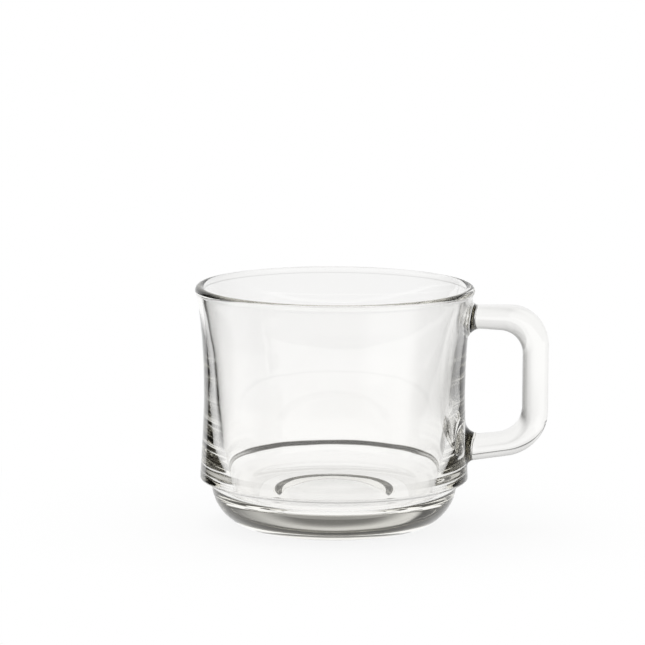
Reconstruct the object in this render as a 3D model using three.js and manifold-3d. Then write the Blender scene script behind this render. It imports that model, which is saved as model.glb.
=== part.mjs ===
// A stackable cup of clear pressed glass with a D-shaped side handle.
// Millimetres, +Z up. The origin lies on the table under the middle of the whole cup,
// and the handle points to +X.

import * as THREE from 'three';
import { ParametricGeometry } from 'three/addons/geometries/ParametricGeometry.js';
import { mergeVertices } from 'three/addons/utils/BufferGeometryUtils.js';
import Module from 'manifold-3d';

const wasm = await Module();
wasm.setup();

// Rim: a round bead that stands proud of the wall
const cupHeight = 75.5;
const rimRadius = 43.45;
const beadRadius = 1.45;
const beadOverhang = 0.7;
const beadUnderside = 38; // degrees below level where the bead starts

// Outer wall: flared under the bead, drawn in at the waist, fuller at the belly
const neckDrop = 4.5; // bead crest to the neck
const neckFlare = 2.1; // neck radius less waist radius
const upperBendHeight = 59;
const waistHeight = 40.5;
const bellyFullness = 1.15; // sharp belly edge less waist radius
const lowerBendHeight = 33.8;
const bellyRounding = 0.9; // length of the round on each side of the belly edge

// Stacking seat: an almost level ledge that sits on the rim of the cup below
const seatHeight = 14.2; // table to the inner corner of the seat
const seatAngle = 78; // degrees from upright
const seatCorner = 0.9; // length of the round on each side of the inner corner
const stackClearance = 2.2; // base to the rim of the cup below, on the radius

// Base: a rounded bowl on a flat foot ring with a shallow hollow inside it
const baseDraft = 4.5; // degrees
const baseFullness = 0.53; // pull of the bowl's curve along the table
const sideFullness = 0.61; // pull of the bowl's curve along its side
const footRadius = 24.2;
const footWidth = 4.6;
const hollowDepth = 2.2;
const hollowSlope = 3.8; // radial run of the hollow's edge

// Inside: a drafted wall that leans in further above the floor, and a wide round to the floor
const waistWall = 3.6;
const innerDraft = 4.2; // degrees
const innerFlare = 8.5; // degrees at the rim
const lowerWallTop = 22.7; // height where the lower wall starts to lean in
const lowerWallLean = 10.4; // degrees
const lowerWallBend = 4.9; // length of the bend on each side of that height
const floorThickness = 9.7;
const floorRoundRise = 3.25; // length of the floor's round along the wall
const floorRoundRun = 6; // length of the floor's round along the floor

// Handle: outer and inner rail in the upright plane, and its depth across that plane
const handleReach = 66.5; // cup axis to the outside of the grip
const handleDrop = 6; // bead crest to the top of the upper arm
const gripThickness = 8.1;
const upperArmThickness = 7; // at the wall
const upperArmTaper = 4; // degrees that the underside falls outwards
const lowerArmHeight = 20.7; // table to the underside at the wall
const lowerArmThickness = 7.9; // at the wall
const lowerArmRise = 8; // degrees that the underside rises outwards
const lowerArmTopRise = 5.7; // degrees that the top side rises outwards
const upperOuterRound = 12;
const lowerOuterRound = 14.5;
const upperInnerRound = 7.4;
const lowerInnerRound = 8.3;
const outerRootRound = 2.2;
const upperInnerRootRound = 3.6;
const lowerInnerRootRound = 4.2;
const handleDepth = 11;
const rootFlare = 2.2; // extra half depth where the handle meets the wall
const outerSquareness = 3.2; // section exponent of the outer half: 2 is an ellipse, more is squarer
const innerSquareness = 2.3; // section exponent of the half towards the fingers
const seamGap = 0.3; // handle to wall

// Facets
const turnSteps = 64;
const curveSteps = 5;
const sectionSides = 24;
const weldDistance = 1e-4;

const rad = THREE.MathUtils.degToRad;
const point = (r, z) => new THREE.Vector2(r, z);
const heading = (degreesFromUpright) =>
  point(Math.sin(rad(degreesFromUpright)), Math.cos(rad(degreesFromUpright)));
const along = (start, direction, length) => start.clone().addScaledVector(direction, length);

// Where the line from a along u crosses the line from b along v.
function crossing(a, u, b, v) {
  const length = b.clone().sub(a).cross(v) / u.cross(v);
  return along(a, u, length);
}

// A round from one straight run to the next, in place of the corner between them.
function round(from, corner, to) {
  const turn = corner.clone().sub(from).angleTo(to.clone().sub(corner));
  const pull = (4 / 3) * Math.tan(turn / 4) / Math.tan(turn / 2);
  const leave = from.clone().lerp(corner, pull);
  const arrive = to.clone().lerp(corner, pull);
  return new THREE.CubicBezierCurve(from, leave, arrive, to);
}

function line(from, to) {
  return new THREE.LineCurve(from, to);
}

function bend(from, control, to) {
  return new THREE.QuadraticBezierCurve(from, control, to);
}

function tracePoints(curves, steps) {
  const path = new THREE.CurvePath();
  curves.forEach((curve) => path.add(curve));
  return path.getPoints(steps);
}

// Radii that follow from the driving sizes
const beadCentre = point(rimRadius - beadRadius, cupHeight - beadRadius);
const mouthRadius = rimRadius - 2 * beadRadius;
const neck = point(rimRadius - beadOverhang, cupHeight - neckDrop);
const waist = point(neck.x - neckFlare, waistHeight);
const stepRadius = mouthRadius - stackClearance;
const bellyRadius = waist.x + bellyFullness;
const bellyRise = (bellyRadius - stepRadius) / Math.tan(rad(seatAngle));
const belly = point(bellyRadius, seatHeight + bellyRise);

// Curves of the outer wall from the belly edge up to the neck.
function wallCurves() {
  const lowerBend = point(waist.x, lowerBendHeight);
  const upperBend = point(waist.x, upperBendHeight);
  const lean = lowerBend.clone().sub(belly).normalize();
  const start = along(belly, lean, bellyRounding);
  return [bend(start, lowerBend, waist), bend(waist, upperBend, neck)];
}

// Curves of the underside, the base bowl, the seat and the belly edge, from the axis outwards.
function baseCurves(wallStart) {
  const hollowEdge = point(footRadius - footWidth - hollowSlope, hollowDepth);
  const footInner = point(footRadius - footWidth, 0);
  const footOuter = point(footRadius, 0);
  const side = heading(baseDraft);
  const cone = heading(seatAngle);
  const step = point(stepRadius, seatHeight);
  const baseCorner = crossing(footOuter, point(1, 0), step, side);
  const sideEnd = along(step, side, -seatCorner);
  const coneStart = along(step, cone, seatCorner);
  const coneEnd = along(belly, cone, -bellyRounding);
  const bowl = new THREE.CubicBezierCurve(
    footOuter,
    footOuter.clone().lerp(baseCorner, baseFullness),
    sideEnd.clone().lerp(baseCorner, sideFullness),
    sideEnd,
  );
  return [
    line(point(0, hollowDepth), hollowEdge),
    line(hollowEdge, footInner),
    line(footInner, footOuter),
    bowl,
    bend(sideEnd, step, coneStart),
    line(coneStart, coneEnd),
    bend(coneEnd, belly, wallStart),
  ];
}

// Curves of the bead, from the neck over the crest to the inner wall.
function rimCurves() {
  const onBead = (angle) => along(beadCentre, point(Math.cos(angle), Math.sin(angle)), beadRadius);
  const headingAt = (angle) => point(-Math.sin(angle), Math.cos(angle));
  const stops = [-rad(beadUnderside), 0, Math.PI / 2, Math.PI - rad(innerFlare)];
  const arcs = stops.slice(1).map((to, i) => {
    const from = stops[i];
    const corner = crossing(onBead(from), headingAt(from), onBead(to), headingAt(to));
    return round(onBead(from), corner, onBead(to));
  });
  const wallHeading = neck.clone().sub(point(waist.x, upperBendHeight));
  const beadStart = onBead(stops[0]);
  const beadRoot = crossing(neck, wallHeading, beadStart, headingAt(stops[0]));
  return [bend(neck, beadRoot, beadStart), ...arcs];
}

// Curves of the inside, from the bead down the wall and across the floor to the axis.
function insideCurves(beadEnd) {
  const innerWaist = point(waist.x - waistWall, waistHeight);
  const drafted = heading(innerDraft);
  const flareBend = crossing(beadEnd, heading(innerFlare), innerWaist, drafted);
  const level = point(1, 0);
  const leaning = heading(lowerWallLean);
  const lowerWall = crossing(innerWaist, drafted, point(0, lowerWallTop), level);
  const floorCorner = crossing(lowerWall, leaning, point(0, floorThickness), level);
  const bendStart = along(lowerWall, drafted, lowerWallBend);
  const bendEnd = along(lowerWall, leaning, -lowerWallBend);
  const roundStart = along(floorCorner, leaning, floorRoundRise);
  const roundEnd = along(floorCorner, level, -floorRoundRun);
  return [
    bend(beadEnd, flareBend, innerWaist),
    line(innerWaist, bendStart),
    bend(bendStart, lowerWall, bendEnd),
    line(bendEnd, roundStart),
    bend(roundStart, floorCorner, roundEnd),
    line(roundEnd, point(0, floorThickness)),
  ];
}

// A profile turned about the cup's upright axis.
function turned(profile) {
  return new THREE.LatheGeometry(profile, turnSteps).rotateX(Math.PI / 2);
}

function toSolid(geometry) {
  geometry.deleteAttribute('normal');
  geometry.deleteAttribute('uv');
  const welded = mergeVertices(geometry, weldDistance);
  const corners = welded.index.array;
  const triangles = [];
  for (let first = 0; first < corners.length; first += 3) {
    const triangle = corners.slice(first, first + 3);
    if (new Set(triangle).size === triangle.length) {
      triangles.push(...triangle);
    }
  }
  return new wasm.Manifold(new wasm.Mesh({
    numProp: 3,
    vertProperties: welded.attributes.position.array,
    triVerts: new Uint32Array(triangles),
  }));
}

function toGeometry(solid) {
  const mesh = solid.getMesh();
  const geometry = new THREE.BufferGeometry();
  geometry.setAttribute('position', new THREE.BufferAttribute(mesh.vertProperties, mesh.numProp));
  geometry.setIndex(new THREE.BufferAttribute(mesh.triVerts, 1));
  geometry.computeVertexNormals();
  return geometry;
}

const wall = wallCurves();
const rim = rimCurves();
const wallPoints = tracePoints(wall, curveSteps);

function cupBody() {
  const beadEnd = rim.at(-1).getPoint(1);
  const curves = [...baseCurves(wallPoints[0]), ...wall, ...rim, ...insideCurves(beadEnd)];
  return toSolid(turned(tracePoints(curves, curveSteps)));
}

// Outer radius of the wall at a height, between the traced points of the wall.
function wallRadiusAt(height) {
  const after = wallPoints.findIndex((p) => p.y > height);
  const above = wallPoints.at(after === 0 ? 1 : after);
  const below = wallPoints.at(after === 0 ? 0 : after - 1);
  const share = (height - below.y) / (above.y - below.y);
  return THREE.MathUtils.lerp(below.x, above.x, share);
}

// A chain of straight runs with a round at each corner. Rounds that would meet on a run share it.
// The runs before the first round and after the last one are left out.
function roundedRail(places, radii) {
  const legs = places.slice(1).map((place, i) => place.clone().sub(places[i]));
  const halfTurns = radii.map((_, i) => Math.tan(legs[i].angleTo(legs[i + 1]) / 2));
  const wanted = radii.map((radius, i) => radius * halfTurns[i]);
  const room = legs.map((leg, i) => leg.length() / ((wanted[i - 1] ?? 0) + (wanted[i] ?? 0)));
  const runs = wanted.map((length, i) => length * Math.min(1, room[i], room[i + 1]));
  const rounds = runs.map((length, i) => {
    const corner = places[i + 1];
    const from = along(corner, legs[i].clone().normalize(), -length);
    const to = along(corner, legs[i + 1].clone().normalize(), length);
    return round(from, corner, to);
  });
  return rounds.flatMap((arc, i) => (i === 0 ? [arc] : [line(rounds[i - 1].v3, arc.v0), arc]));
}

// Rail along the outside of the handle, from the wall above the upper arm to the wall below the lower.
function outerRail() {
  const armTop = cupHeight - handleDrop;
  const upperRoot = point(wallRadiusAt(armTop), armTop);
  const lowerRoot = point(wallRadiusAt(lowerArmHeight), lowerArmHeight);
  const grip = point(handleReach, 0);
  const upperCorner = point(handleReach, armTop);
  const lowerCorner = crossing(lowerRoot, heading(90 - lowerArmRise), grip, point(0, 1));
  const above = point(upperRoot.x, cupHeight);
  const below = point(lowerRoot.x, 0);
  return roundedRail(
    [above, upperRoot, upperCorner, lowerCorner, lowerRoot, below],
    [outerRootRound, upperOuterRound, lowerOuterRound, outerRootRound],
  );
}

// Rail along the finger opening, from the wall under the upper arm to the wall above the lower.
function innerRail() {
  const upperHeight = cupHeight - handleDrop - upperArmThickness;
  const lowerHeight = lowerArmHeight + lowerArmThickness;
  const upperRoot = point(wallRadiusAt(upperHeight), upperHeight);
  const lowerRoot = point(wallRadiusAt(lowerHeight), lowerHeight);
  const grip = point(handleReach - gripThickness, 0);
  const upperCorner = crossing(upperRoot, heading(90 + upperArmTaper), grip, point(0, 1));
  const lowerCorner = crossing(lowerRoot, heading(90 - lowerArmTopRise), grip, point(0, 1));
  const middle = (upperHeight + lowerHeight) / 2;
  const below = point(upperRoot.x, middle);
  const above = point(lowerRoot.x, middle);
  return roundedRail(
    [below, upperRoot, upperCorner, lowerCorner, lowerRoot, above],
    [upperInnerRootRound, upperInnerRound, lowerInnerRound, lowerInnerRootRound],
  );
}

// Cross-sections of the handle: each spans the two rails, and the first and last arcs flare at the wall.
function handleSections() {
  const outer = outerRail();
  const inner = innerRail();
  const lastCurve = outer.length - 1;
  const sections = [];
  outer.forEach((curve, k) => {
    const steps = k === lastCurve ? curveSteps + 1 : curveSteps;
    for (let j = 0; j < steps; j += 1) {
      const share = j / curveSteps;
      const fromWall = k === 0 ? share : k === lastCurve ? 1 - share : 1;
      sections.push({
        outside: curve.getPoint(share),
        inside: inner[k].getPoint(share),
        halfDepth: handleDepth / 2 + rootFlare * (1 - Math.sin(fromWall * Math.PI / 2)),
      });
    }
  });
  return sections;
}

// The section's outline: a superellipse between its two rail points, rounder on the inner half.
function sectionPoint(section, turn, target) {
  const angle = -turn * 2 * Math.PI;
  const squareness = Math.cos(angle) > 0 ? outerSquareness : innerSquareness;
  const swell = (value) => Math.sign(value) * Math.abs(value) ** (2 / squareness);
  const share = (1 - swell(Math.cos(angle))) / 2;
  const spot = section.outside.clone().lerp(section.inside, share);
  target.set(spot.x, section.halfDepth * swell(Math.sin(angle)), spot.y);
}

// The section moved towards the cup's axis, so that it ends inside the wall.
function buried(section) {
  const inwards = point(-waistWall, 0);
  return {
    outside: section.outside.clone().add(inwards),
    inside: section.inside.clone().add(inwards),
    halfDepth: section.halfDepth,
  };
}

// The section shrunk to a point, which closes the end of the loft.
function closed(section) {
  const middle = section.outside.clone().lerp(section.inside, 0.5);
  return { outside: middle, inside: middle, halfDepth: 0 };
}

// Everything inside the outer wall and its seam, to trim the ends of the handle.
function wallCutter() {
  const grown = wallPoints.map((p) => point(p.x + seamGap, p.y));
  const bottom = point(0, 0);
  const top = point(0, cupHeight);
  const lower = point(grown[0].x, 0);
  const upper = point(grown.at(-1).x, cupHeight);
  return toSolid(turned([bottom, lower, ...grown, upper, top]));
}

function handle() {
  const free = handleSections();
  const start = buried(free[0]);
  const end = buried(free.at(-1));
  const sections = [closed(start), start, ...free, end, closed(end)];
  const last = sections.length - 1;
  const place = (turn, share, target) =>
    sectionPoint(sections[Math.round(share * last)], turn, target);
  const loft = new ParametricGeometry(place, sectionSides, last);
  return toSolid(loft).subtract(wallCutter());
}

function glassMesh(name, solid) {
  const glass = new THREE.MeshStandardMaterial({
    color: 0xf1f3ef,
    roughness: 0.04,
    metalness: 0,
    transparent: true,
    opacity: 0.35,
  });
  const mesh = new THREE.Mesh(toGeometry(solid), glass);
  mesh.name = name;
  return mesh;
}

const cup = new THREE.Group();
cup.name = 'stackable_glass_cup';
cup.position.x = (rimRadius - handleReach) / 2;
cup.add(glassMesh('cup_body', cupBody()));
cup.add(glassMesh('handle', handle()));

export default cup;
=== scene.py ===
"""Looks of the stackable glass cup: one smooth piece of clear pressed glass on a white studio table."""

import math
from types import SimpleNamespace

import bpy
import numpy as np
from bpy.props import FloatProperty, FloatVectorProperty, PointerProperty
from mathutils import Matrix, Vector


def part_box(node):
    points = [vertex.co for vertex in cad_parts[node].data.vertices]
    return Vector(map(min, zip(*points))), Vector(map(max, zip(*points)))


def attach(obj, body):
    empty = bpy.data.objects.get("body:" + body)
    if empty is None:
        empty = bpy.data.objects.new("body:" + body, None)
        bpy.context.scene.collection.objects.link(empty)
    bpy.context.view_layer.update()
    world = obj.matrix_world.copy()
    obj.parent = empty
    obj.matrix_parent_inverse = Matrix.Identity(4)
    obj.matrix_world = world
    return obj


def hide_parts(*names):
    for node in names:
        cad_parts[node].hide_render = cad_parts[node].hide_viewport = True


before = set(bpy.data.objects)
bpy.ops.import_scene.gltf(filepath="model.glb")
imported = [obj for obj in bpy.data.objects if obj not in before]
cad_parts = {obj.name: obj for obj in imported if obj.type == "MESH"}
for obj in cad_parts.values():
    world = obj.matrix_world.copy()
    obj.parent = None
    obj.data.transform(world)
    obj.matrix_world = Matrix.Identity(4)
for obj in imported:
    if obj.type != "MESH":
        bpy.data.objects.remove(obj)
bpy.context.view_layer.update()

bl_info = {
    "name": "Stackable glass cup",
    "version": (1, 0, 0),
    "blender": (4, 5, 0),
    "location": "3D View > Sidebar > Cup",
    "description": "Builds a clear pressed-glass cup with a side handle, and a white table to show it on",
    "category": "Object",
}

MM = 0.001
BODY_LOW, BODY_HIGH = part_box("cup_body")
HANDLE_LOW, HANDLE_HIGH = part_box("handle")
AXIS_X = (BODY_LOW.x + BODY_HIGH.x) / 2


def length(name, description, default):
    """A length in metres that a user can change."""
    return FloatProperty(name=name, description=description, default=default, unit="LENGTH", precision=5)


def angle(name, description, degrees):
    """An angle that a user can change, given in degrees and kept in radians."""
    return FloatProperty(name=name, description=description, default=math.radians(degrees), subtype="ANGLE")


def factor(name, description, default):
    """A plain number that a user can change."""
    return FloatProperty(name=name, description=description, default=default, precision=4)


def colour(name, description, default):
    """A colour that a user can change."""
    return FloatVectorProperty(name=name, description=description, default=default, subtype="COLOR", size=3)


class CupShape(bpy.types.PropertyGroup):
    """Sizes of the turned body, along its profile."""

    height: length("Height", "Table to the crest of the lip", BODY_HIGH.z)
    rim_radius: length("Rim radius", "Axis to the widest point of the lip", (BODY_HIGH.y - BODY_LOW.y) / 2)
    bead_radius: length("Bead radius", "Half the thickness of the lip", 1.45 * MM)
    bead_overhang: length("Bead overhang", "How far the lip stands proud of the neck", 0.7 * MM)
    bead_underside: angle("Bead underside", "Where the bead starts, below level", 38)
    neck_drop: length("Neck drop", "Crest of the lip to the neck", 4.5 * MM)
    neck_flare: length("Neck flare", "Neck radius less waist radius", 2.1 * MM)
    upper_bend: length("Upper bend", "Height of the bend between waist and neck", 59 * MM)
    waist_height: length("Waist height", "Table to the narrowest place of the wall", 40.5 * MM)
    belly_fullness: length("Belly fullness", "Belly edge less waist radius", 1.15 * MM)
    lower_bend: length("Lower bend", "Height of the bend between belly and waist", 33.8 * MM)
    belly_rounding: length("Belly rounding", "Length of the round beside the belly edge", 0.9 * MM)
    seat_height: length("Seat height", "Table to the inner corner of the seat", 14.2 * MM)
    seat_angle: angle("Seat angle", "Lean of the seat from upright", 78)
    seat_corner: length("Seat corner", "Length of the round beside the inner corner", 0.9 * MM)
    stack_clearance: length("Stack clearance", "Base to the mouth of the cup below", 2.2 * MM)
    base_draft: angle("Base draft", "Lean of the base's side from upright", 4.5)
    base_fullness: factor("Base fullness", "Pull of the base's curve along the table", 0.53)
    side_fullness: factor("Side fullness", "Pull of the base's curve along its side", 0.61)
    foot_radius: length("Foot radius", "Outside of the foot ring", 24.2 * MM)
    foot_width: length("Foot width", "Width of the flat foot ring", 4.6 * MM)
    hollow_depth: length("Hollow depth", "Depth of the hollow under the base", 2.2 * MM)
    hollow_slope: length("Hollow slope", "Radial run of the hollow's edge", 3.8 * MM)
    waist_wall: length("Waist wall", "Thickness of the wall at the waist", 4.2 * MM)
    inner_draft: angle("Inner draft", "Lean of the inner wall from upright", 4.2)
    inner_flare: angle("Inner flare", "Lean of the inner wall at the lip", 8.5)
    lower_wall: length("Lower wall", "Height where the inner wall starts to lean in further", 22.7 * MM)
    lower_lean: angle("Lower lean", "Lean of the inner wall above the floor", 9.0)
    lower_bending: length("Lower bending", "Length of the bend beside that height", 4.9 * MM)
    floor_thickness: length("Floor thickness", "Table to the floor inside", 9.7 * MM)
    floor_rise: length("Floor round's rise", "Length of the floor's round along the wall", 3.25 * MM)
    floor_run: length("Floor round's run", "Length of the floor's round along the floor", 6 * MM)


class HandleShape(bpy.types.PropertyGroup):
    """Sizes of the handle, along its two rails."""

    reach: length("Reach", "Cup axis to the outside of the grip", HANDLE_HIGH.x - AXIS_X)
    drop: length("Drop", "Crest of the lip to the top of the upper arm", 6 * MM)
    grip: length("Grip", "Thickness of the upright grip", 8.1 * MM)
    upper_arm: length("Upper arm", "Thickness of the upper arm at the wall", 7 * MM)
    upper_taper: angle("Upper taper", "Fall of the upper arm's underside", 4)
    lower_height: length("Lower height", "Table to the lower arm's underside at the wall", 20.7 * MM)
    lower_arm: length("Lower arm", "Thickness of the lower arm at the wall", 7.9 * MM)
    lower_rise: angle("Lower rise", "Rise of the lower arm's underside", 8)
    lower_top_rise: angle("Lower top rise", "Rise of the lower arm's top side", 5.7)
    upper_outer: length("Upper outer round", "Radius of the upper corner outside", 12 * MM)
    lower_outer: length("Lower outer round", "Radius of the lower corner outside", 14.5 * MM)
    upper_inner: length("Upper inner round", "Radius of the upper corner inside", 7.4 * MM)
    lower_inner: length("Lower inner round", "Radius of the lower corner inside", 8.3 * MM)
    outer_root: length("Outer root round", "Radius where the outside meets the wall", 2.2 * MM)
    upper_inner_root: length("Upper inner root", "Radius under the upper arm at the wall", 3.6 * MM)
    lower_inner_root: length("Lower inner root", "Radius over the lower arm at the wall", 4.2 * MM)
    depth: length("Depth", "Depth of the handle across its plane", 11 * MM)
    root_flare: length("Root flare", "Extra half depth at the wall", 2.2 * MM)
    outer_squareness: factor("Outer squareness", "Section exponent of the outer half", 3.2)
    inner_squareness: factor("Inner squareness", "Section exponent of the inner half", 2.3)
    blend_run: length("Blend run", "Distance from the wall over which the roots take up its curve", 8 * MM)


class GlassLook(bpy.types.PropertyGroup):
    """Finish of the glass."""

    tint: colour("Tint", "Colour of thick glass", (0.97, 0.96, 0.92))
    density: factor("Density", "Absorption for each metre", 25.0)
    ior: factor("Index", "Index of refraction of soda-lime glass", 1.51)
    wave_size: length("Wave size", "Width of the soft waves that pressing leaves in the surface", 14 * MM)
    wave_height: length("Wave height", "Height of these waves", 0.05 * MM)
    cloud_size: length("Cloud size", "Width of the faint uneven patches of the polish", 45 * MM)
    polish: factor("Polish", "Largest roughness of the fire-polished surface", 0.02)
    clear: colour("Clear", "Colour of the surface where it is cleanest", (1.0, 1.0, 1.0))
    worn: colour("Worn", "Colour of the surface where it is least clear", (0.985, 0.982, 0.975))


class StageLook(bpy.types.PropertyGroup):
    """Table and light."""

    table: colour("Table", "Colour of the table", (0.92, 0.92, 0.92))
    shadow: factor("Shadow", "Share of the table's own shading that shows beside the cup", 0.12)
    plain_light: factor("Plain light", "Strength of the light from all round", 0.9)
    lamp: factor("Lamp", "Power of the soft overhead lamp, in watts", 6.0)
    backdrop: colour("Backdrop", "Colour of the lit backdrop and table", (1.0, 1.0, 1.0))
    # Room is also the colour of the painted shade on the table, which only rays through the glass see
    room: colour("Room", "Colour of the dim room and boards through the glass", (0.045, 0.043, 0.038))


class CameraView(bpy.types.PropertyGroup):
    """Place and lens of the camera."""

    distance: length("Distance", "Camera to the point it aims at", 1.45)
    pitch: angle("Pitch", "How far the camera looks down", 8.76)
    roll: angle("Roll", "Turn of the camera about its own view", 0.3)
    aim_beside: length("Aim beside axis", "Cup axis to the aim, towards the handle", -3.85 * MM)
    aim_height: length("Aim height", "Table to the aim", 63.8 * MM)
    focal_pixels: factor("Focal length", "Focal length in pixels of the picture", 4670.0)


def crossing(a, u, b, v):
    """Where the line from a along u crosses the line from b along v."""
    share = np.cross(b - a, v) / np.cross(u, v)
    return a + u * share


def heading(lean):
    """Unit direction in the profile plane, leaning outwards from upright by that angle."""
    return np.array([math.sin(lean), math.cos(lean)])


def line(a, b, steps):
    """Straight run: a + (b - a) t."""
    t = np.linspace(0, 1, steps + 1)[:, None]
    return a + (b - a) * t


def bend(a, control, b, steps):
    """Parabola from a to b that is tangent to the legs of its control point."""
    t = np.linspace(0, 1, steps + 1)[:, None]
    return a * (1 - t) ** 2 + control * 2 * t * (1 - t) + b * t**2


def cubic(a, leave, arrive, b, steps):
    """Cubic curve from a to b with two control points."""
    t = np.linspace(0, 1, steps + 1)[:, None]
    return a * (1 - t) ** 3 + leave * 3 * t * (1 - t) ** 2 + arrive * 3 * t**2 * (1 - t) + b * t**3


def turn_between(a, corner, b):
    """Angle by which the direction changes at a corner."""
    u = corner - a
    v = b - corner
    return math.atan2(abs(float(np.cross(u, v))), float(u @ v))


def rounded(a, corner, b, steps):
    """Cubic curve that follows the true arc between two legs of a corner."""
    turn = turn_between(a, corner, b)
    pull = 4 / 3 * math.tan(turn / 4) / math.tan(turn / 2)
    return cubic(a, a + (corner - a) * pull, b + (corner - b) * pull, b, steps)


def joined(runs):
    """Runs of points end to end, each shared end point once."""
    return np.concatenate([runs[0]] + [run[1:] for run in runs[1:]])


def key_points(shape):
    """Corner and control points of the profile, as (radius, height)."""
    k = SimpleNamespace()
    k.bead = np.array([shape.rim_radius - shape.bead_radius, shape.height - shape.bead_radius])
    k.neck = np.array([shape.rim_radius - shape.bead_overhang, shape.height - shape.neck_drop])
    k.waist = np.array([k.neck[0] - shape.neck_flare, shape.waist_height])
    step_radius = shape.rim_radius - 2 * shape.bead_radius - shape.stack_clearance
    k.step = np.array([step_radius, shape.seat_height])
    belly_radius = k.waist[0] + shape.belly_fullness
    belly_rise = (belly_radius - step_radius) / math.tan(shape.seat_angle)
    k.belly = np.array([belly_radius, shape.seat_height + belly_rise])
    k.lower_bend = np.array([k.waist[0], shape.lower_bend])
    k.upper_bend = np.array([k.waist[0], shape.upper_bend])
    lean = (k.lower_bend - k.belly) / np.linalg.norm(k.lower_bend - k.belly)
    k.wall_start = k.belly + lean * shape.belly_rounding
    k.bead_start = on_bead(shape, k, -shape.bead_underside)
    k.bead_root = crossing(k.neck, k.neck - k.upper_bend, k.bead_start, bead_heading(-shape.bead_underside))
    return k


def on_bead(shape, k, turn):
    """Point of the bead at an angle from level."""
    return k.bead + shape.bead_radius * np.array([math.cos(turn), math.sin(turn)])


def bead_heading(turn):
    """Direction along the bead at an angle from level."""
    return np.array([-math.sin(turn), math.cos(turn)])


def parabola_radius(a, control, b, z):
    """Radius at height z on the parabola a, control, b, by solving its height for the curve's parameter."""
    slope = 2 * (control[1] - a[1])
    curve = a[1] - 2 * control[1] + b[1]
    root = np.sqrt(np.maximum(slope**2 + 4 * curve * (z - a[1]), 0))
    t = 2 * (z - a[1]) / (slope + root)
    return a[0] * (1 - t) ** 2 + control[0] * 2 * t * (1 - t) + b[0] * t**2


def wall_radius(k, z):
    """Outer radius of the wall at heights z, from the belly to the underside of the bead."""
    lower = parabola_radius(k.wall_start, k.lower_bend, k.waist, z)
    upper = parabola_radius(k.waist, k.upper_bend, k.neck, z)
    bead = parabola_radius(k.neck, k.bead_root, k.bead_start, z)
    return np.where(z < k.waist[1], lower, np.where(z < k.neck[1], upper, bead))


# Steps along the stretches of the profile, in the order of the stretches
BASE_STEPS = (3, 3, 3, 30, 7, 3, 10)
BEAD_STEPS = 9
INSIDE_STEPS = (18, 6, 14, 4, 24, 6)


def base_profile(shape, k):
    """Underside, foot ring, base bowl, seat and belly edge, from the axis to the wall."""
    foot_inner = np.array([shape.foot_radius - shape.foot_width, 0])
    foot_outer = np.array([shape.foot_radius, 0])
    hollow_edge = np.array([foot_inner[0] - shape.hollow_slope, shape.hollow_depth])
    side = heading(shape.base_draft)
    cone = heading(shape.seat_angle)
    base_corner = crossing(foot_outer, np.array([1.0, 0.0]), k.step, side)
    side_end = k.step - side * shape.seat_corner
    low_pull = foot_outer + (base_corner - foot_outer) * shape.base_fullness
    side_pull = side_end + (base_corner - side_end) * shape.side_fullness
    cone_start = k.step + cone * shape.seat_corner
    cone_end = k.belly - cone * shape.belly_rounding
    under, edge, foot, bowl, corner, seat, belly = BASE_STEPS
    return [
        line(np.array([0, shape.hollow_depth]), hollow_edge, under),
        line(hollow_edge, foot_inner, edge),
        line(foot_inner, foot_outer, foot),
        cubic(foot_outer, low_pull, side_pull, side_end, bowl),
        bend(side_end, k.step, cone_start, corner),
        line(cone_start, cone_end, seat),
        bend(cone_end, k.belly, k.wall_start, belly),
    ]


def rim_profile(shape, k):
    """Bead from its underside over the crest to the inner wall, in three arcs."""
    stops = [-shape.bead_underside, 0, math.pi / 2, math.pi - shape.inner_flare]
    runs = []
    for a, b in zip(stops, stops[1:]):
        start = on_bead(shape, k, a)
        end = on_bead(shape, k, b)
        corner = crossing(start, bead_heading(a), end, bead_heading(b))
        runs.append(rounded(start, corner, end, BEAD_STEPS))
    return runs


def inside_profile(shape, k, bead_end):
    """Inner wall, lower wall, floor round and floor, from the bead to the axis."""
    level = np.array([1.0, 0.0])
    inner_waist = np.array([k.waist[0] - shape.waist_wall, shape.waist_height])
    middle = np.array([0.0, shape.floor_thickness])
    drafted = heading(shape.inner_draft)
    leaning = heading(shape.lower_lean)
    flare_bend = crossing(bead_end, heading(shape.inner_flare), inner_waist, drafted)
    lower_wall = crossing(inner_waist, drafted, np.array([0.0, shape.lower_wall]), level)
    floor_corner = crossing(lower_wall, leaning, middle, level)
    bend_start = lower_wall + drafted * shape.lower_bending
    bend_end = lower_wall - leaning * shape.lower_bending
    round_start = floor_corner + leaning * shape.floor_rise
    round_end = floor_corner - level * shape.floor_run
    flare, draft, lower, lean, floor_round, floor = INSIDE_STEPS
    return [
        bend(bead_end, flare_bend, inner_waist, flare),
        line(inner_waist, bend_start, draft),
        bend(bend_start, lower_wall, bend_end, lower),
        line(bend_end, round_start, lean),
        bend(round_start, floor_corner, round_end, floor_round),
        line(round_end, middle, floor),
    ]


def rounded_rail(places, radii, steps):
    """Straight runs with an arc at each corner, without the first and last run.

    Returns one array of points for each stretch: arc, run, arc, run, and so on.
    """
    arcs = []
    for a, corner, b, radius, count in zip(places, places[1:], places[2:], radii, steps[::2]):
        reach = radius * math.tan(turn_between(a, corner, b) / 2)
        start = corner + (a - corner) / np.linalg.norm(a - corner) * reach
        end = corner + (b - corner) / np.linalg.norm(b - corner) * reach
        arcs.append(rounded(start, corner, end, count))
    stretches = [arcs[0]]
    for before, after, count in zip(arcs, arcs[1:], steps[1::2]):
        stretches += [line(before[-1], after[0], count), after]
    return stretches


# Steps along a rail: root, arm, corner, grip, corner, arm, root
RAIL_STEPS = (16, 8, 24, 18, 24, 8, 16)


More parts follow.
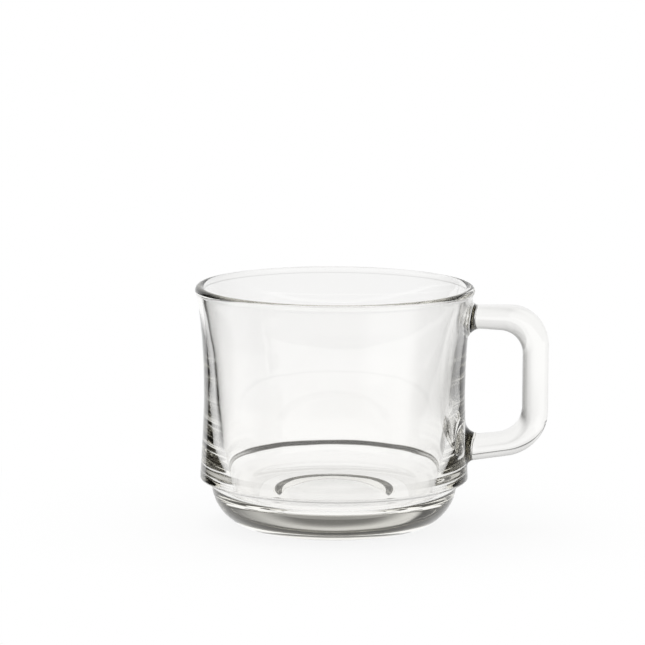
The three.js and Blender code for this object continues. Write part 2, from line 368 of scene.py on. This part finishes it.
def outer_rail(shape, handle, k):
    """Rail along the outside of the handle, from the wall above it to the wall below."""
    top = shape.height - handle.drop
    upper = np.array([float(wall_radius(k, top)), top])
    lower = np.array([float(wall_radius(k, handle.lower_height)), handle.lower_height])
    grip = np.array([handle.reach, 0.0])
    upper_corner = np.array([handle.reach, top])
    lower_corner = crossing(lower, heading(math.pi / 2 - handle.lower_rise), grip, np.array([0.0, 1.0]))
    above = np.array([upper[0], shape.height])
    below = np.array([lower[0], 0.0])
    places = [above, upper, upper_corner, lower_corner, lower, below]
    radii = [handle.outer_root, handle.upper_outer, handle.lower_outer, handle.outer_root]
    return rounded_rail(places, radii, RAIL_STEPS)


def inner_rail(shape, handle, k):
    """Rail along the finger opening, from the wall under the upper arm to the wall above the lower."""
    upper_height = shape.height - handle.drop - handle.upper_arm
    lower_height = handle.lower_height + handle.lower_arm
    upper = np.array([float(wall_radius(k, upper_height)), upper_height])
    lower = np.array([float(wall_radius(k, lower_height)), lower_height])
    grip = np.array([handle.reach - handle.grip, 0.0])
    upright = np.array([0.0, 1.0])
    upper_corner = crossing(upper, heading(math.pi / 2 + handle.upper_taper), grip, upright)
    lower_corner = crossing(lower, heading(math.pi / 2 - handle.lower_top_rise), grip, upright)
    middle = (upper_height + lower_height) / 2
    below = np.array([upper[0], middle])
    above = np.array([lower[0], middle])
    places = [below, upper, upper_corner, lower_corner, lower, above]
    radii = [handle.upper_inner_root, handle.upper_inner, handle.lower_inner, handle.lower_inner_root]
    return rounded_rail(places, radii, RAIL_STEPS)


COLUMNS = 360
PATCH_COLUMNS = 14
PATCH_ROWS = 12
PATCH_RINGS = 6
EDGE_ROWS = 2
MIDDLE_ROWS = 10
PATCH_MARGIN = 2.2 * MM
BEAD_MARGIN = 0.35 * MM
BELLY_MARGIN = 0.35 * MM


def patch_loop():
    """Offsets (columns, rows) of the vertices round a patch, clockwise from outside, from its top left."""
    a = np.arange(-PATCH_COLUMNS, PATCH_COLUMNS)
    b = np.arange(-PATCH_ROWS, PATCH_ROWS)
    top = np.stack([a, np.full_like(a, PATCH_ROWS)], 1)
    right = np.stack([np.full_like(b, PATCH_COLUMNS), -b], 1)
    bottom = np.stack([-a, np.full_like(a, -PATCH_ROWS)], 1)
    left = np.stack([np.full_like(b, -PATCH_COLUMNS), b], 1)
    return np.concatenate([top, right, bottom, left])


def section_ring(handle):
    """Section outline as (across, out) shares: |u|^n + |v|^n = 1, met along each patch direction."""
    loop = patch_loop() / np.array([PATCH_COLUMNS, PATCH_ROWS])
    power = np.where(loop[:, 1] > 0, handle.outer_squareness, handle.inner_squareness)
    size = (np.abs(loop[:, 0]) ** power + np.abs(loop[:, 1]) ** power) ** (1 / power)
    return loop / size[:, None]


def smooth_step(x):
    """0 below 0, 1 above 1, and 3x^2 - 2x^3 between."""
    x = np.clip(x, 0, 1)
    return x * x * (3 - 2 * x)


def handle_sections(shape, handle, k):
    """Points of the handle as an array (section, ring point, xyz) about the cup's axis.

    A section spans the outer and the inner rail, with half its depth to either side. Near the wall it flares
    in a quarter round, and its points shift by the wall's own curve, so that the end sections lie on the wall.
    """
    outer = outer_rail(shape, handle, k)
    inner = inner_rail(shape, handle, k)
    out = joined(outer)
    into = joined(inner)
    away = np.ones(len(out))
    root = RAIL_STEPS[0] + 1
    away[:root] = np.linspace(0, 1, root)
    away[-root:] = np.linspace(1, 0, root)
    half = handle.depth / 2 + handle.root_flare * (1 - np.sin(away * math.pi / 2))
    ring = section_ring(handle)
    share = (1 - ring[:, 1]) / 2
    spot = out[:, None, :] * (1 - share)[None, :, None] + into[:, None, :] * share[None, :, None]
    y = half[:, None] * ring[None, :, 0]
    upper_half = (np.arange(len(out)) < len(out) / 2)[:, None]
    upper_wall = out[0, 0] * (1 - share) + into[0, 0] * share
    lower_wall = out[-1, 0] * (1 - share) + into[-1, 0] * share
    wall = np.where(upper_half, upper_wall, lower_wall)
    off = spot[..., 0] - wall
    radius = wall_radius(k, np.clip(spot[..., 1], k.wall_start[1], k.bead_start[1]))
    shift = np.sqrt(radius**2 - y**2) - wall
    x = spot[..., 0] + shift * (1 - smooth_step(off / handle.blend_run))
    return np.stack([x, y, spot[..., 1]], -1)


def patch_rings(k, boundary, footprint):
    """Rings on the wall between a patch's edge and the handle's footprint, blended in angle and height."""
    edge_turn = np.arctan2(boundary[:, 1], boundary[:, 0])
    foot_turn = np.arctan2(footprint[:, 1], footprint[:, 0])
    share = (np.arange(1, PATCH_RINGS) / PATCH_RINGS)[:, None]
    turn = edge_turn * (1 - share) + foot_turn * share
    z = boundary[:, 2] * (1 - share) + footprint[:, 2] * share
    radius = wall_radius(k, z)
    return np.stack([radius * np.cos(turn), radius * np.sin(turn), z], -1)


def wall_rows(k, sections):
    """Heights of the wall's rows, and the row in the middle of the lower and of the upper patch."""
    lower_foot = sections[-1, :, 2]
    upper_foot = sections[0, :, 2]
    lower_start = max(lower_foot.min() - PATCH_MARGIN, k.wall_start[1] + BELLY_MARGIN)
    lower_end = lower_foot.max() + PATCH_MARGIN
    upper_start = upper_foot.min() - PATCH_MARGIN
    upper_end = min(upper_foot.max() + PATCH_MARGIN, k.bead_start[1] - BEAD_MARGIN)
    stops = [k.wall_start[1], lower_start, lower_end, upper_start, upper_end, k.bead_start[1]]
    counts = [EDGE_ROWS, 2 * PATCH_ROWS, MIDDLE_ROWS, 2 * PATCH_ROWS, EDGE_ROWS]
    runs = [np.linspace(a, b, n + 1) for a, b, n in zip(stops, stops[1:], counts)]
    return joined(runs), counts[0] + PATCH_ROWS, sum(counts[:3]) + PATCH_ROWS


def cup_surface(shape, handle):
    """Vertices and faces of the whole cup: a turned profile, with the handle grown from two of its patches.

    The body is the grid (r(i) cos(j), r(i) sin(j), z(i)). Inside each patch the grid gives way to rings that
    run from the patch's edge to the handle's footprint, then along the handle to the other patch.
    """
    k = key_points(shape)
    sections = handle_sections(shape, handle, k)
    z, lower_row, upper_row = wall_rows(k, sections)
    wall = np.stack([wall_radius(k, z), z], 1)
    base = joined(base_profile(shape, k))
    rim = joined(rim_profile(shape, k))
    inside = joined(inside_profile(shape, k, rim[-1]))
    profile = joined([base, wall, rim, inside])
    rows = profile[1:-1]
    first_wall = len(base) - 2
    lower_row += first_wall
    upper_row += first_wall

    turns = np.linspace(-math.pi, math.pi, COLUMNS, endpoint=False)
    middle = COLUMNS // 2
    grid = np.stack([
        np.outer(rows[:, 0], np.cos(turns)),
        np.outer(rows[:, 0], np.sin(turns)),
        np.repeat(rows[:, 1:], COLUMNS, 1),
    ], -1)
    number = np.arange(len(rows) * COLUMNS).reshape(len(rows), COLUMNS)
    poles = np.array([[0, 0, profile[0, 1]], [0, 0, profile[-1, 1]]])
    under, over = number.size, number.size + 1

    loop = patch_loop()
    upper_edge = number[upper_row + loop[:, 1], middle + loop[:, 0]]
    lower_edge = number[lower_row - loop[:, 1], middle + loop[:, 0]]
    flat = grid.reshape(-1, 3)
    upper_rings = patch_rings(k, flat[upper_edge], sections[0])
    lower_rings = patch_rings(k, flat[lower_edge], sections[-1])[::-1]
    handle_rings = np.concatenate([upper_rings, sections, lower_rings])
    handle_number = over + 1 + np.arange(len(handle_rings) * len(loop)).reshape(-1, len(loop))
    strips = np.concatenate([upper_edge[None], handle_number, lower_edge[None]])
    vertices = np.concatenate([flat, poles, handle_rings.reshape(-1, 3)])

    beside = np.roll(number, -1, 1)
    body = np.stack([number[:-1], beside[:-1], beside[1:], number[1:]], -1)
    keep = np.ones(body.shape[:2], bool)
    columns = slice(middle - PATCH_COLUMNS, middle + PATCH_COLUMNS)
    for row in (lower_row, upper_row):
        keep[row - PATCH_ROWS:row + PATCH_ROWS, columns] = False
    after = np.roll(strips, -1, 1)
    arm = np.stack([strips[:-1], strips[1:], after[1:], after[:-1]], -1)
    quads = np.concatenate([body[keep], arm.reshape(-1, 4)])
    bottom_fan = np.stack([np.full(COLUMNS, under), beside[0], number[0]], -1)
    top_fan = np.stack([np.full(COLUMNS, over), number[-1], beside[-1]], -1)
    triangles = np.concatenate([bottom_fan, top_fan])

    used = np.zeros(len(vertices), bool)
    used[quads] = True
    used[triangles] = True
    renumber = np.cumsum(used) - 1
    vertices = vertices[used]
    vertices[:, 0] += AXIS_X
    return vertices, renumber[quads], renumber[triangles]


class Socket:
    """A shader value. Arithmetic on it adds Math nodes to its node tree."""

    def __init__(self, tree, socket):
        self.tree = tree
        self.socket = socket

    @staticmethod
    def add(tree, kind, settings=None, **inputs):
        """Adds a node, sets its settings first, then feeds its inputs by name, with _ for a space."""
        node = tree.nodes.new(kind)
        for name, value in (settings or {}).items():
            setattr(node, name, value)
        for name, value in inputs.items():
            feed(tree, node.inputs[name.replace("_", " ")], value)
        return node

    def math(self, operation, *values):
        """A Math node of that operation on the values."""
        node = self.add(self.tree, "ShaderNodeMath", {"operation": operation})
        for place, value in zip(node.inputs, values):
            feed(self.tree, place, value)
        return Socket(self.tree, node.outputs[0])

    def __add__(self, other):
        return self.math("ADD", self, other)

    def __sub__(self, other):
        return self.math("SUBTRACT", self, other)

    def __mul__(self, other):
        return self.math("MULTIPLY", self, other)

    def __radd__(self, other):
        return self.math("ADD", other, self)

    def __rsub__(self, other):
        return self.math("SUBTRACT", other, self)

    def __rmul__(self, other):
        return self.math("MULTIPLY", other, self)

    def step(self, low, high):
        """0 below low, 1 above high, and smooth between."""
        node = self.add(self.tree, "ShaderNodeMapRange", {"interpolation_type": "SMOOTHSTEP"})
        for place, value in zip(node.inputs, (self, low, high, 0.0, 1.0)):
            feed(self.tree, place, value)
        return Socket(self.tree, node.outputs[0])

    def window(self, middle, full, none):
        """1 for values within full of the middle, 0 for those further from it than none."""
        off = self.math("ABSOLUTE", self - middle)
        return 1.0 - off.step(full, none)


def feed(tree, place, value):
    """Links a Socket to an input, or sets the input's own value."""
    if isinstance(value, Socket):
        tree.links.new(value.socket, place)
    else:
        place.default_value = value


def output(tree, node, name):
    """A node's output as a Socket."""
    return Socket(tree, node.outputs[name])


def fresh_tree(owner):
    """The owner's node tree, emptied."""
    owner.use_nodes = True
    owner.node_tree.nodes.clear()
    return owner.node_tree


def mixed(tree, share, first, second):
    """Colour that goes from the first to the second as share goes from 0 to 1."""
    node = Socket.add(tree, "ShaderNodeMix", {"data_type": "RGBA"}, Factor=share)
    places = [place for place in node.inputs if place.type == "RGBA"]
    for place, value in zip(places, (first, second)):
        feed(tree, place, (*value, 1.0))
    result = [place for place in node.outputs if place.type == "RGBA"]
    return Socket(tree, result[0])


def blended(tree, share, first, second):
    """Shader that goes from the first to the second as share goes from 0 to 1."""
    mix = Socket.add(tree, "ShaderNodeMixShader", Fac=share)
    tree.links.new(first.outputs[0], mix.inputs[1])
    tree.links.new(second.outputs[0], mix.inputs[2])
    return mix


def put_out(tree, kind, shader):
    """Makes a shader the surface of its material or world. Returns the output node."""
    end = Socket.add(tree, kind)
    tree.links.new(shader.outputs[0], end.inputs["Surface"])
    return end


def coordinates(tree, kind):
    """X, Y and Z of one kind of texture coordinates."""
    where = Socket.add(tree, "ShaderNodeTexCoord")
    parts = Socket.add(tree, "ShaderNodeSeparateXYZ", Vector=output(tree, where, kind))
    return [output(tree, parts, axis) for axis in "XYZ"]


# Layers of noise in the waves of the surface and in the patches of the polish
WAVE_DETAIL = 1.0
CLOUD_DETAIL = 2.0


def clear_glass(look):
    """Clear pressed glass: polished, with soft waves, and absorbing a little light in its thickness."""
    material = bpy.data.materials.new("clear_glass")
    tree = fresh_tree(material)
    place = output(tree, Socket.add(tree, "ShaderNodeTexCoord"), "Object")
    fine = 1 / look.wave_size
    broad = 1 / look.cloud_size
    waves = Socket.add(tree, "ShaderNodeTexNoise", Vector=place, Scale=fine, Detail=WAVE_DETAIL)
    clouds = Socket.add(tree, "ShaderNodeTexNoise", Vector=place, Scale=broad, Detail=CLOUD_DETAIL)
    bump = Socket.add(tree, "ShaderNodeBump", Height=output(tree, waves, "Fac"), Distance=look.wave_height)
    cloudy = output(tree, clouds, "Fac")
    shader = Socket.add(
        tree, "ShaderNodeBsdfPrincipled",
        Base_Color=mixed(tree, cloudy, look.clear, look.worn),
        Roughness=cloudy * look.polish,
        IOR=look.ior,
        Transmission_Weight=1.0,
        Normal=output(tree, bump, "Normal"),
    )
    volume = Socket.add(tree, "ShaderNodeVolumeAbsorption", Color=(*look.tint, 1.0), Density=look.density)
    end = put_out(tree, "ShaderNodeOutputMaterial", shader)
    tree.links.new(volume.outputs["Volume"], end.inputs["Volume"])
    return material


def seen_rays(tree):
    """Two values: 1 for rays from the camera, and 1 for rays that glass bends or mirrors, else 0."""
    path = Socket.add(tree, "ShaderNodeLightPath")
    camera = output(tree, path, "Is Camera Ray")
    glossy = output(tree, path, "Is Glossy Ray")
    through = output(tree, path, "Is Transmission Ray")
    bent = glossy.math("MAXIMUM", glossy, through)
    return camera, bent


DEGREES = 180 / math.pi

# The table as the glass shows it, with painted shade that only rays through the glass see. Places are in
# metres about the cup's axis. Turns are in degrees from straight behind, positive on the handle's side.
# A pair is a fade, from and to.
SHEET_EDGE = 0.058  # the white sheet's left edge, where the painted shade on the left begins, beside the axis
SHEET_SLANT = 0.53  # how far that edge runs out to the left for each metre behind the cup
SHEET_FADE = (-0.015, 0.008)  # across that edge
SHEET_RIGHT = (10.0, 80.0)  # turns over which the sheet gives way to the painted shade on the right
LEFT_NEAR = (0.05, 0.09)  # where the painted shade on the left starts, from the axis
LEFT_WIDTH = (-0.17, -0.11)  # where it ends, beyond the sheet's edge
LEFT_FRONT = (0.0, 0.04)  # where it starts, behind the axis
RIGHT_NEAR = (0.1, 0.15)  # where the painted shade on the right starts, from the axis
FRONT_TURN = (95.0, 130.0)  # turns over which the table in front starts, on both sides
FRONT_FAR = (0.24, 0.3)  # where the table in front gets its full painted light, from the axis
FRONT_PAINTED_LIGHT = 0.5  # its painted light nearer than that
CORNER_GAP = (135.0, 10.0, 30.0)  # gap in the painted shade on the right: middle, full and none
SHADOW_END = (0.06, 0.14)  # where the cup's shadow fades out, from the axis


def table_material(look):
    """White table: matt, and lifted to white for the camera, so that little but the cup's shadow shows.

    Through the glass it is white, with painted shade left and right of the cup and painted half shade close in
    front.
    """
    material = bpy.data.materials.new("white_table")
    tree = fresh_tree(material)
    camera, bent = seen_rays(tree)
    x, y, _ = coordinates(tree, "Object")
    x = x - AXIS_X
    away = x.math("SQRT", x * x + y * y)
    turn = x.math("ARCTAN2", x, y) * DEGREES
    left = x + y * SHEET_SLANT + SHEET_EDGE
    # Painted shade left of the cup, which only rays through the glass see
    left_painted_shade = (1.0 - left.step(*SHEET_FADE)) * left.step(*LEFT_WIDTH) * y.step(*LEFT_FRONT)
    in_front = turn.math("ABSOLUTE", turn).step(*FRONT_TURN)
    # Painted light of the table in front: half close to the cup, full further out
    front_painted_light = in_front * (FRONT_PAINTED_LIGHT + away.step(*FRONT_FAR) * (1.0 - FRONT_PAINTED_LIGHT))
    sides = turn.math("MAXIMUM", turn.step(*SHEET_RIGHT), (turn * -1.0).step(*FRONT_TURN))
    # Painted shade right of the cup, and half of it close in front
    right_painted_shade = sides * (1.0 - turn.window(*CORNER_GAP)) * (1.0 - front_painted_light)
    painted_shade = turn.math("MAXIMUM", left_painted_shade * away.step(*LEFT_NEAR), right_painted_shade * away.step(*RIGHT_NEAR))
    matt = Socket.add(tree, "ShaderNodeBsdfDiffuse", Color=(*look.table, 1.0))
    # Through the glass the table's colour holds this painted shade, in the room colour
    seen = mixed(tree, bent * painted_shade, look.backdrop, look.room)
    white = Socket.add(tree, "ShaderNodeEmission", Color=seen, Strength=1.0)
    shaded = look.shadow * (1.0 - away.step(*SHADOW_END))
    put_out(tree, "ShaderNodeOutputMaterial", blended(tree, camera * (1.0 - shaded) + bent, matt, white))
    return material


# Fades of the lit backdrop, in degrees: turns from straight behind, and heights above level
BACKDROP_LEFT = (-42.0, -32.0)
BACKDROP_RIGHT = (0.0, 75.0)
BACKDROP_TOP = (-15.0, 70.0)


def studio_world(look):
    """White surroundings. Through the glass they are a lit backdrop in a dim room."""
    world = bpy.data.worlds.new("studio")
    tree = fresh_tree(world)
    x, y, z = coordinates(tree, "Generated")
    turn = x.math("ARCTAN2", x, y) * DEGREES
    rise = z.math("ARCSINE", z) * DEGREES
    across = turn.step(*BACKDROP_LEFT) * (1.0 - turn.step(*BACKDROP_RIGHT))
    lit = across * (1.0 - rise.step(*BACKDROP_TOP))
    camera, bent = seen_rays(tree)
    seen = mixed(tree, bent * (1.0 - lit), look.backdrop, look.room)
    strength = look.plain_light + (camera + bent) * (1.0 - look.plain_light)
    light = Socket.add(tree, "ShaderNodeBackground", Color=seen, Strength=strength)
    put_out(tree, "ShaderNodeOutputWorld", light)
    return world


# The shade behind the cup, in metres about the cup's axis. A pair is a fade, from and to.
SHADE_HEIGHT = 0.06
SHADE_NEAR = (0.2, 0.335)
SHADE_FAR = (0.365, 0.4)
SHADE_SIDES = (0.0, 0.1, 0.15)  # middle, full and none
SHADE_COVER = 0.85  # how much of the light it stops at most


def shade_material(look):
    """Dim underside of a shade, fading out at its edges. From above it is clear."""
    material = bpy.data.materials.new("shade")
    tree = fresh_tree(material)
    x, y, _ = coordinates(tree, "Object")
    x = x - AXIS_X
    under = output(tree, Socket.add(tree, "ShaderNodeNewGeometry"), "Backfacing")
    behind = y.step(*SHADE_NEAR) * (1.0 - y.step(*SHADE_FAR))
    cover = behind * x.window(*SHADE_SIDES) * under * SHADE_COVER
    clear = Socket.add(tree, "ShaderNodeBsdfTransparent")
    dim = Socket.add(tree, "ShaderNodeEmission", Color=(*look.room, 1.0), Strength=1.0)
    put_out(tree, "ShaderNodeOutputMaterial", blended(tree, cover, clear, dim))
    return material


def add_mesh(name, vertices, faces, material):
    """A smooth mesh object at the origin."""
    mesh = bpy.data.meshes.new(name)
    mesh.from_pydata(vertices, [], faces)
    mesh.polygons.foreach_set("use_smooth", np.ones(len(mesh.polygons), bool))
    mesh.materials.append(material)
    mesh.update()
    mesh.validate()
    piece = bpy.data.objects.new(name, mesh)
    bpy.context.scene.collection.objects.link(piece)
    return piece


IMAGE_SIDE = 645  # pixels
SENSOR_WIDTH = 36.0  # millimetres


def add_camera(view):
    """Camera at the photograph's angle, distance and lens."""
    data = bpy.data.cameras.new("camera")
    data.sensor_width = SENSOR_WIDTH
    data.lens = SENSOR_WIDTH * view.focal_pixels / IMAGE_SIDE
    camera = bpy.data.objects.new("camera", data)
    aim = Vector((AXIS_X + view.aim_beside, 0, view.aim_height))
    back = Vector((0, -math.cos(view.pitch), math.sin(view.pitch)))
    turn = (-back).to_track_quat("-Z", "Y").to_matrix() @ Matrix.Rotation(view.roll, 3, "Z")
    camera.matrix_world = Matrix.Translation(aim + back * view.distance) @ turn.to_4x4()
    bpy.context.scene.collection.objects.link(camera)
    bpy.context.scene.camera = camera


TABLE_HALF = 6.0


def add_table(look):
    """A large flat table at the height of the foot."""
    corners = TABLE_HALF * np.array([[-1, -1, 0], [1, -1, 0], [1, 1, 0], [-1, 1, 0]])
    table = add_mesh("table", corners, [(0, 1, 2, 3)], table_material(look))


def add_shade(look):
    """A flat shade low behind the cup, which only rays through the glass meet."""
    _, _, side = SHADE_SIDES
    near, _ = SHADE_NEAR
    _, far = SHADE_FAR
    corners = np.array([[-side, near], [side, near], [side, far], [-side, far]]) + [AXIS_X, 0]
    corners = np.column_stack([corners, np.full(4, SHADE_HEIGHT)])
    shade = add_mesh("shade", corners, [(0, 1, 2, 3)], shade_material(look))
    shade.visible_camera = False
    shade.visible_diffuse = False
    shade.visible_shadow = False


LAMP_SIZE = 1.2
LAMP_PLACE = Vector((-0.3, 0.2, 1.5))  # from the foot of the cup's axis


def add_lamp(look):
    """A large soft lamp overhead, which the glass doesn't show."""
    data = bpy.data.lights.new("overhead", "AREA")
    data.shape = "DISK"
    data.size = LAMP_SIZE
    data.energy = look.lamp
    lamp = bpy.data.objects.new("overhead", data)
    lamp.location = Vector((AXIS_X, 0, 0)) + LAMP_PLACE
    lamp.visible_glossy = False
    lamp.visible_transmission = False
    lamp.rotation_euler = (-LAMP_PLACE).to_track_quat("-Z", "Y").to_euler()
    bpy.context.scene.collection.objects.link(lamp)


GLASS_BOUNCES = 32
MIRROR_BOUNCES = 16


class CUP_OT_glass(bpy.types.Operator):
    """Make the cup: its body and its handle as one piece of glass"""

    bl_idname = "cup.glass"
    bl_label = "Make glass cup"

    def execute(self, context):
        scene = context.scene
        vertices, quads, triangles = cup_surface(scene.cup_shape, scene.cup_handle)
        faces = quads.tolist() + triangles.tolist()
        cup = add_mesh("glass_cup", vertices, faces, clear_glass(scene.cup_glass))
        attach(cup, "root")
        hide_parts("cup_body", "handle")
        return {"FINISHED"}


class CUP_OT_stage(bpy.types.Operator):
    """Set the table, the light and the camera"""

    bl_idname = "cup.stage"
    bl_label = "Set the stage"

    def execute(self, context):
        scene = context.scene
        add_camera(scene.cup_camera)
        add_table(scene.cup_stage)
        add_shade(scene.cup_stage)
        add_lamp(scene.cup_stage)
        scene.world = studio_world(scene.cup_stage)
        scene.view_settings.view_transform = "Standard"
        scene.cycles.max_bounces = GLASS_BOUNCES
        scene.cycles.transmission_bounces = GLASS_BOUNCES
        scene.cycles.glossy_bounces = MIRROR_BOUNCES
        return {"FINISHED"}


class CUP_PT_panel(bpy.types.Panel):
    """Buttons and sizes of the cup"""

    bl_idname = "CUP_PT_panel"
    bl_label = "Stackable glass cup"
    bl_space_type = "VIEW_3D"
    bl_region_type = "UI"
    bl_category = "Cup"

    def draw(self, context):
        layout = self.layout
        layout.operator("cup.glass")
        layout.operator("cup.stage")
        for group_name in GROUPS:
            group = getattr(context.scene, group_name)
            box = layout.box()
            for name in group.__annotations__:
                box.prop(group, name)


GROUPS = {
    "cup_shape": CupShape,
    "cup_handle": HandleShape,
    "cup_glass": GlassLook,
    "cup_stage": StageLook,
    "cup_camera": CameraView,
}
CLASSES = (*GROUPS.values(), CUP_OT_glass, CUP_OT_stage, CUP_PT_panel)


def register():
    for cls in CLASSES:
        bpy.utils.register_class(cls)
    for name, group in GROUPS.items():
        setattr(bpy.types.Scene, name, PointerProperty(type=group))


def unregister():
    for name in GROUPS:
        delattr(bpy.types.Scene, name)
    for cls in reversed(CLASSES):
        bpy.utils.unregister_class(cls)


def main():
    """Builds the cup and its stage."""
    register()
    bpy.ops.cup.stage()
    bpy.ops.cup.glass()


if __name__ == "__main__":
    main()
